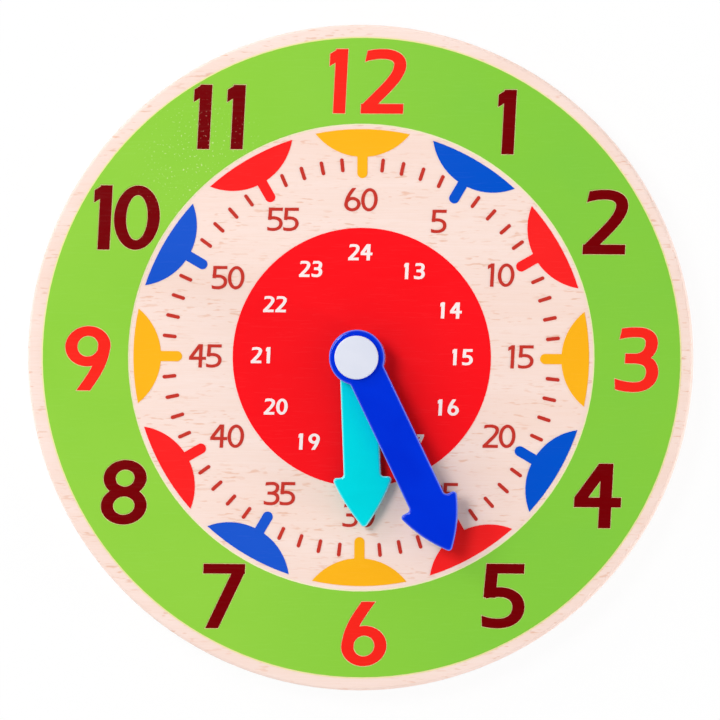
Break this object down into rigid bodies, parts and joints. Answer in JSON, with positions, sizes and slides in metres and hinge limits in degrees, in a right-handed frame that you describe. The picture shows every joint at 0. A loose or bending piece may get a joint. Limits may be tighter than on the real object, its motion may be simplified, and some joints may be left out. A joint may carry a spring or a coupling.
{
  "type": "geared teaching clock",
  "caption": "Round wooden teaching clock with a printed dial, arrow-shaped hour and minute hands, and a gear train behind a rear cover that keeps the hands in step.",
  "frame": {"origin": "middle of the flat back of the round board, on the line of the centre arbor", "axes": "+Z out of the dial along the arbor, +Y from the middle to the 12, +X to the 3"},
  "size_m": [0.14, 0.14, 0.0161],
  "materials": {
    "beech": "bare sanded beech, clear matt lacquer",
    "black_plastic": "fine textured moulding",
    "white_plastic": "smooth moulding",
    "natural_plastic": "natural acetal",
    "blue_plastic": "satin moulding",
    "turquoise_plastic": "satin moulding",
    "steel": "bright",
    "ink_cream": "screen-printed film",
    "ink_green": "screen-printed film",
    "ink_red": "screen-printed film",
    "ink_maroon": "screen-printed film",
    "ink_brick": "screen-printed film",
    "ink_white": "screen-printed film",
    "ink_yellow": "screen-printed film",
    "ink_blue": "screen-printed film"
  },
  "bodies": {
    "clock_body": {"dial_board": "beech", "rear_cover": "black_plastic", "cover_screws": "steel", "centre_bush": "white_plastic", "wheel_stud": "steel", "print_base_coat": "ink_cream", "print_green_ring": "ink_green", "print_red_disc": "ink_red", "print_quarter_numerals": "ink_red", "print_hour_numerals": "ink_maroon", "print_minute_numerals": "ink_brick", "print_day_numerals": "ink_white", "print_minute_ticks": "ink_brick", "print_yellow_markers": "ink_yellow", "print_red_markers": "ink_red", "print_blue_markers": "ink_blue"},
    "minute_arbor": {"centre_arbor": "steel", "cannon_pinion": "natural_plastic", "pinion_clip": "steel", "hand_washer": "white_plastic", "minute_hand": "blue_plastic", "arbor_cap": "white_plastic"},
    "transfer_gear": {"transfer_gear": "natural_plastic"},
    "hour_wheel": {"hour_wheel": "natural_plastic"},
    "hour_hand": {"hour_hand": "turquoise_plastic"}
  },
  "joints": [
    {"name": "minute_hand_turn", "type": "hinge", "parent": "clock_body", "child": "minute_arbor", "pos_m": [0, 0, 0.01225], "axis": [0, 0, -1], "continuous": true},
    {"name": "transfer_gear_turn", "type": "hinge", "parent": "clock_body", "child": "transfer_gear", "pos_m": [0, 0.018, 0.0035], "axis": [0, 0, -1], "continuous": true},
    {"name": "hour_wheel_turn", "type": "hinge", "parent": "clock_body", "child": "hour_wheel", "pos_m": [0, 0, 0.0048], "axis": [0, 0, -1], "continuous": true},
    {"name": "hour_hand_slip", "type": "hinge", "parent": "hour_wheel", "child": "hour_hand", "pos_m": [0, 0, 0.00905], "axis": [0, 0, -1], "continuous": true}
  ],
  "couplings": [
    {"joint": "transfer_gear_turn", "follows": "minute_hand_turn", "ratio": -0.33333},
    {"joint": "hour_wheel_turn", "follows": "minute_hand_turn", "ratio": 0.083333}
  ]
}
